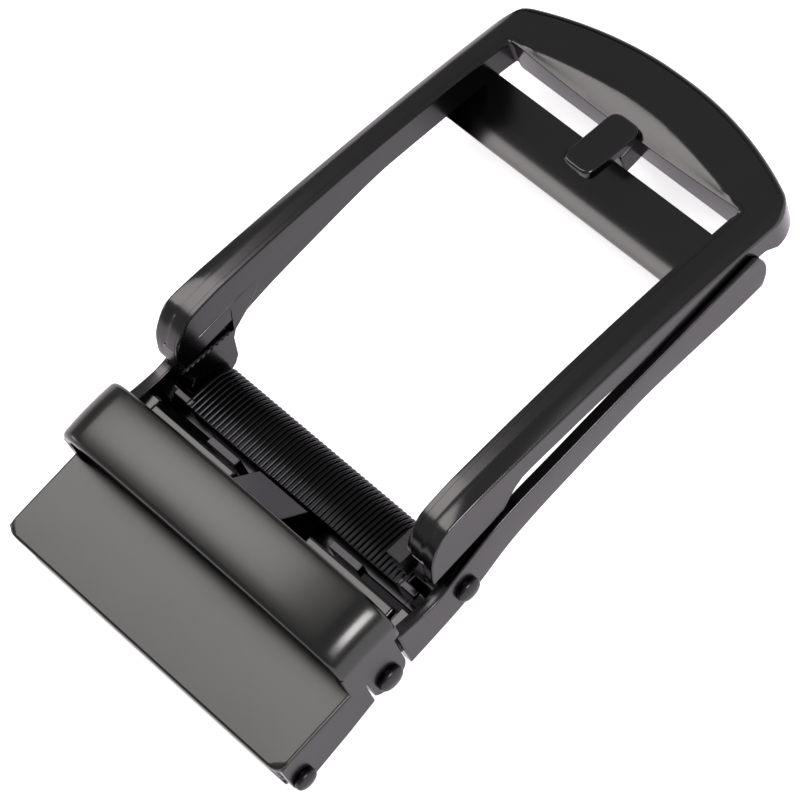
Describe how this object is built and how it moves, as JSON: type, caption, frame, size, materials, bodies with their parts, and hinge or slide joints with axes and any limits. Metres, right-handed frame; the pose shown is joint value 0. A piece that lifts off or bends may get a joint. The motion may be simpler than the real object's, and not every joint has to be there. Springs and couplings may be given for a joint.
{
  "type": "belt buckle",
  "caption": "Automatic ratchet belt buckle styled like a pin buckle: hinged front frame with fixed prong, ribbed bar, sprung pawl, strap keeper and hinged clamp jaw for the strap's fixed end.",
  "frame": {"origin": "middle of the bounding box at its underside, where the buckle lies flat", "axes": "+Y runs from the strap clamp to the arch of the front frame, +X across the strap, +Z away from the wearer"},
  "size_m": [0.0418, 0.0802, 0.0171],
  "materials": {
    "satin_black": "satin black plating over cast zinc alloy",
    "inner_black": "glossier black plating on the inner castings",
    "black_steel": "black-plated steel",
    "spring_steel": "drawn spring wire"
  },
  "bodies": {
    "base": {"base_frame": "satin_black", "ribbed_bar": "inner_black", "main_hinge_rivets": "black_steel", "pawl_pin": "black_steel", "pawl_spring_right": "spring_steel", "pawl_spring_left": "spring_steel"},
    "front_frame": {"front_frame": "satin_black", "release_rod": "black_steel"},
    "ratchet_pawl": {"ratchet_pawl": "inner_black"},
    "strap_clamp": {"clamp_housing": "satin_black", "clamp_rivets": "black_steel", "jaw_rivets": "black_steel"},
    "jaw": {"clamp_jaw": "satin_black"}
  },
  "joints": [
    {"name": "front_frame_lift", "type": "hinge", "parent": "base", "child": "front_frame", "pos_m": [0, -0.0142, 0.0049], "axis": [1, 0, 0], "range_deg": [0, 25], "stiffness_Nm_per_rad": 0.02, "springref_deg": -20.05},
    {"name": "pawl_drop", "type": "hinge", "parent": "base", "child": "ratchet_pawl", "pos_m": [0, -0.0144, 0.00395], "axis": [1, 0, 0], "range_deg": [0, 30.5]},
    {"name": "clamp_swing", "type": "hinge", "parent": "base", "child": "strap_clamp", "pos_m": [0, -0.0256, 0.0038], "axis": [1, 0, 0], "range_deg": [0, 15]},
    {"name": "jaw_open", "type": "hinge", "parent": "strap_clamp", "child": "jaw", "pos_m": [0, -0.0382, 0.002], "axis": [-1, 0, 0], "range_deg": [0, 80]}
  ],
  "couplings": [
    {"joint": "pawl_drop", "follows": "front_frame_lift", "ratio": 1.22}
  ]
}
